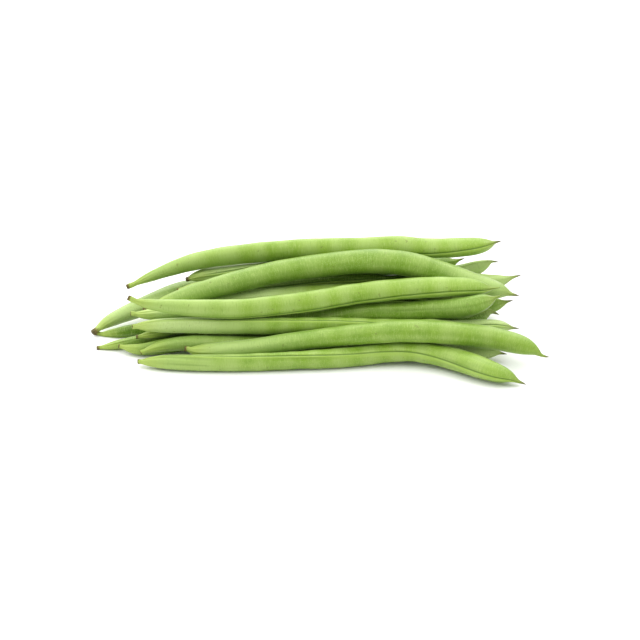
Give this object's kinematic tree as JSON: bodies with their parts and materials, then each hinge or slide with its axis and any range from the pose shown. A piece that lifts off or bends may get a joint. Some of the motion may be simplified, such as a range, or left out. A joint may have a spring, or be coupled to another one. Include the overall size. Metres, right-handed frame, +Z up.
{
  "type": "green bean bundle",
  "caption": "Loose bundle of whole fresh green bean pods, stalk knobs at one end and curved beaks at the other, lying as a low heap.",
  "frame": {"origin": "middle of the heap's footprint, on the surface it lies on", "axes": "+X along the pods from stalk ends to beaks, +Y from the front of the heap to its back, +Z up"},
  "size_m": [0.2202, 0.0988, 0.0424],
  "materials": {
    "bean_skin": "satin fresh pod skin, pale neck, brown stalk end"
  },
  "bodies": {
    "root": {"pod_top": "bean_skin", "pod_upper_arch": "bean_skin", "pod_front_upper": "bean_skin", "pod_front_middle": "bean_skin", "pod_front_long": "bean_skin", "pod_front_low": "bean_skin", "pod_middle_shaded": "bean_skin", "pod_low_left": "bean_skin", "pod_floor_left": "bean_skin", "pod_floor_long": "bean_skin", "pod_left_lower": "bean_skin", "pod_left_tip": "bean_skin", "pod_behind_top": "bean_skin", "pod_behind_arch": "bean_skin", "pod_right_tip": "bean_skin", "pod_core_front": "bean_skin", "pod_core_middle": "bean_skin", "pod_core_upper": "bean_skin", "pod_back_middle": "bean_skin", "pod_back_upper": "bean_skin", "pod_back_floor": "bean_skin", "pod_back_edge": "bean_skin"}
  },
  "joints": []
}
